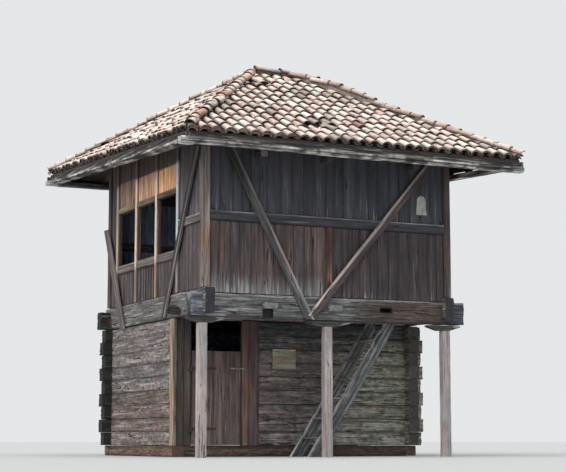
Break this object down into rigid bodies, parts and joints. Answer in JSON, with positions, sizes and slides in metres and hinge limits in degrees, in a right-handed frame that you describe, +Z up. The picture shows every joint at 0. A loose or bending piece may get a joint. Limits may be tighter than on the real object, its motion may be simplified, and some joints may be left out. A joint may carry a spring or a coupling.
{
  "type": "raised granary",
  "caption": "Timber granary: log ground storey with a hinged door, jettied boarded upper storey on posts, outside stair and a hipped clay tile roof.",
  "frame": {"origin": "middle of the roof's plan, at ground level; the walls stand 0.165 m nearer the front, because the roof reaches further out at the back", "axes": "+X to the right along the front, +Y to the back, +Z up; the door and the stair are at -Y"},
  "size_m": [6.08, 7.13, 6.7948],
  "materials": {
    "log_wood": "weathered squared logs",
    "beam_wood": "rough hewn, grey brown",
    "post_wood": "pale pinkish grey, planed",
    "frame_wood": "dark weathered",
    "board_wood": "dark weathered boards",
    "warm_wood": "sheltered orange brown boards",
    "door_wood": "dark brown planks",
    "stair_wood": "weathered grey",
    "floor_wood": "old boards",
    "eaves_wood": "weathered, partly whitish",
    "roof_wood": "dark, sheltered",
    "roof_tile": "unglazed clay, pale with lichen",
    "iron": "rusty wrought iron",
    "pale_plate": "flat pale paint",
    "plaque_wood": "bare varnished board"
  },
  "bodies": {
    "building": {"back_beam": "beam_wood", "back_boards": "board_wood", "back_plate": "beam_wood", "beam_pegs": "beam_wood", "bell_plate": "pale_plate", "bolsters": "beam_wood", "braces": "frame_wood", "ceiling_rails": "frame_wood", "ceiling_ties": "frame_wood", "corner_posts": "frame_wood", "cross_beam": "beam_wood", "cross_sills": "log_wood", "door_jambs": "door_wood", "eaves_beams_long": "eaves_wood", "eaves_beams_side": "eaves_wood", "edge_boards": "eaves_wood", "front_beam": "beam_wood", "front_boards": "board_wood", "front_posts": "post_wood", "ground_corner_post": "frame_wood", "hinge_pins": "iron", "hip_rafters": "roof_wood", "joists": "beam_wood", "left_boards": "board_wood", "log_wall_back": "log_wood", "log_wall_front": "log_wood", "log_wall_left": "log_wood", "log_wall_right": "log_wood", "middle_posts": "frame_wood", "middle_rails": "frame_wood", "plaque": "plaque_wood", "rafters": "roof_wood", "right_boards": "board_wood", "roof_caps": "roof_tile", "roof_deck": "roof_wood", "roof_tiles": "roof_tile", "side_beams": "beam_wood", "side_sills": "log_wood", "stair_stringers": "stair_wood", "stair_treads": "stair_wood", "upper_floor": "floor_wood", "wall_plates": "frame_wood", "window_head_boards": "warm_wood", "window_posts": "post_wood", "window_rails": "frame_wood"},
    "door": {"door_leaf": "door_wood", "door_straps": "iron", "door_latch": "iron"}
  },
  "joints": [
    {"name": "door_hinge", "type": "hinge", "parent": "building", "child": "door", "pos_m": [-1.91, -1.193, 0], "axis": [0, 0, -1], "range_deg": [0, 100]}
  ]
}
